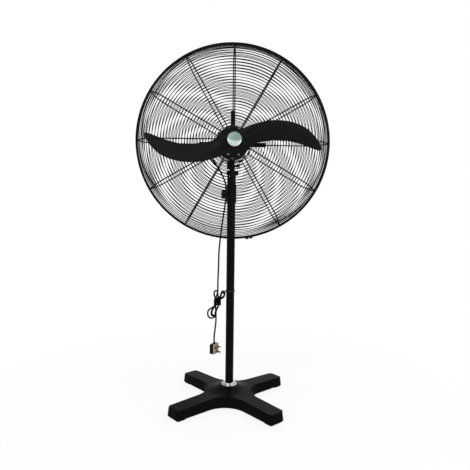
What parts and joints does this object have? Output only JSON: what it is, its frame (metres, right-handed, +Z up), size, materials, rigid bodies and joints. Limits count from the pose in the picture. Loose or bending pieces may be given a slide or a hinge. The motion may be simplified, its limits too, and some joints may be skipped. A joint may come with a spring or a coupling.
{
  "type": "pedestal fan",
  "caption": "Large oscillating pedestal fan: wire guard round a broad S-shaped blade, motor head on a tilting swivel neck, telescopic pole, cross base, supply cord tied in a hank.",
  "frame": {"origin": "on the floor, at the pole's axis, in the middle of the fan's footprint", "axes": "+Z up along the pole, the fan blows towards -Y, +X to the right as seen from the front"},
  "size_m": [0.8099, 0.541, 1.584],
  "materials": {
    "base_casting": "satin-gloss black paint on a casting",
    "rubber_black": "matt",
    "chrome_trim": "polished",
    "pole_paint": "gloss black paint",
    "bright_steel": "zinc-plated",
    "knob_plastic": "matt",
    "wear_plastic": "matt",
    "tilt_nut_paint": "black",
    "cord_rubber": "satin",
    "plug_black": "satin",
    "plug_cream": "matt",
    "brass_pins": "plain",
    "copper_wire": "enamelled copper",
    "laminated_steel": "laminated sheet",
    "motor_paint": "satin black paint",
    "capacitor_shell": "matt",
    "guard_paint": "satin black coating",
    "badge_silver": "satin",
    "blade_paint": "matt black paint"
  },
  "bodies": {
    "stand": {"base_cross": "base_casting", "base_feet": "rubber_black", "foot_flange": "chrome_trim", "pole_bolt": "bright_steel", "pole_washer": "bright_steel", "pole_insert": "bright_steel", "pole_tube": "pole_paint", "pole_collar": "pole_paint", "pole_bush": "wear_plastic"},
    "height_clamp": {"height_knob": "knob_plastic"},
    "post": {"inner_tube": "bright_steel", "neck_fork": "pole_paint", "tilt_pin": "bright_steel", "cord_upper": "cord_rubber", "cord_hang": "cord_rubber", "cord_hank": "cord_rubber", "cord_tail": "cord_rubber", "hank_tie": "knob_plastic", "pole_tie": "knob_plastic", "plug_back": "plug_black", "plug_face": "plug_cream", "plug_pins": "brass_pins"},
    "tilt_lock": {"tilt_nut": "tilt_nut_paint"},
    "tilt": {"tilt_bracket": "pole_paint", "thrust_washer": "wear_plastic"},
    "link": {"oscillation_link": "bright_steel"},
    "head": {"swivel_pin": "bright_steel", "motor_front_shell": "motor_paint", "motor_rear_shell": "motor_paint", "stator_core": "laminated_steel", "stator_windings": "copper_wire", "bearings": "bright_steel", "motor_screws": "bright_steel", "gear_case": "motor_paint", "rear_cover": "motor_paint", "speed_switch": "knob_plastic", "capacitor": "capacitor_shell", "cable_gland": "knob_plastic", "rear_guard_rings": "guard_paint", "rear_guard_ribs": "guard_paint", "rear_guard_straps": "guard_paint", "strap_bolts": "bright_steel", "front_guard_rings": "guard_paint", "front_guard_ribs": "guard_paint", "front_plate": "guard_paint", "badge": "badge_silver", "guard_band": "guard_paint", "band_lug": "guard_paint", "band_screw": "bright_steel"},
    "rotor": {"shaft": "bright_steel", "rotor_core": "laminated_steel", "worm": "brass_pins", "fan_blade": "blade_paint", "hub_boss": "blade_paint", "hub_rivets": "bright_steel", "hub_nut": "bright_steel"},
    "crank": {"worm_wheel": "wear_plastic", "crank_disc": "bright_steel"},
    "clutch": {"clutch_knob": "knob_plastic"},
    "speed": {"speed_knob": "knob_plastic"}
  },
  "joints": [
    {"name": "height_slide", "type": "slide", "parent": "stand", "child": "post", "axis": [0, 0, 1], "range_m": [0, 0.3]},
    {"name": "height_clamp_turn", "type": "hinge", "parent": "stand", "child": "height_clamp", "pos_m": [0, 0, 0.964], "axis": [-1, 0, 0], "range_deg": [0, 720]},
    {"name": "head_tilt", "type": "hinge", "parent": "post", "child": "tilt", "pos_m": [0, 0, 1.06], "axis": [-1, 0, 0], "range_deg": [-10, 30], "deforming": ["cord_upper"]},
    {"name": "tilt_lock_turn", "type": "hinge", "parent": "post", "child": "tilt_lock", "pos_m": [0, 0, 1.06], "axis": [1, 0, 0], "range_deg": [0, 720]},
    {"name": "head_oscillation", "type": "hinge", "parent": "tilt", "child": "head", "pos_m": [0, 0, 1.1], "axis": [0, 0, 1], "range_deg": [-45, 45], "deforming": ["cord_upper"]},
    {"name": "blade_spin", "type": "hinge", "parent": "head", "child": "rotor", "pos_m": [0, 0, 1.179], "axis": [0, 1, 0], "continuous": true},
    {"name": "crank_turn", "type": "hinge", "parent": "head", "child": "crank", "pos_m": [0.021, 0.072, 1.179], "axis": [0, 0, 1], "continuous": true},
    {"name": "link_swing", "type": "hinge", "parent": "tilt", "child": "link", "pos_m": [0.028, 0.004, 1.1], "axis": [0, 0, 1], "range_deg": [-45, 45]},
    {"name": "clutch_pull", "type": "slide", "parent": "head", "child": "clutch", "axis": [0, 0, 1], "range_m": [0, 0.008]},
    {"name": "speed_turn", "type": "hinge", "parent": "head", "child": "speed", "pos_m": [-0.018, 0.1, 1.179], "axis": [0, 1, 0], "range_deg": [0, 135]}
  ],
  "couplings": [
    {"joint": "crank_turn", "follows": "blade_spin", "ratio": 0.041667},
    {"joint": "link_swing", "follows": "head_oscillation", "ratio": 1}
  ]
}
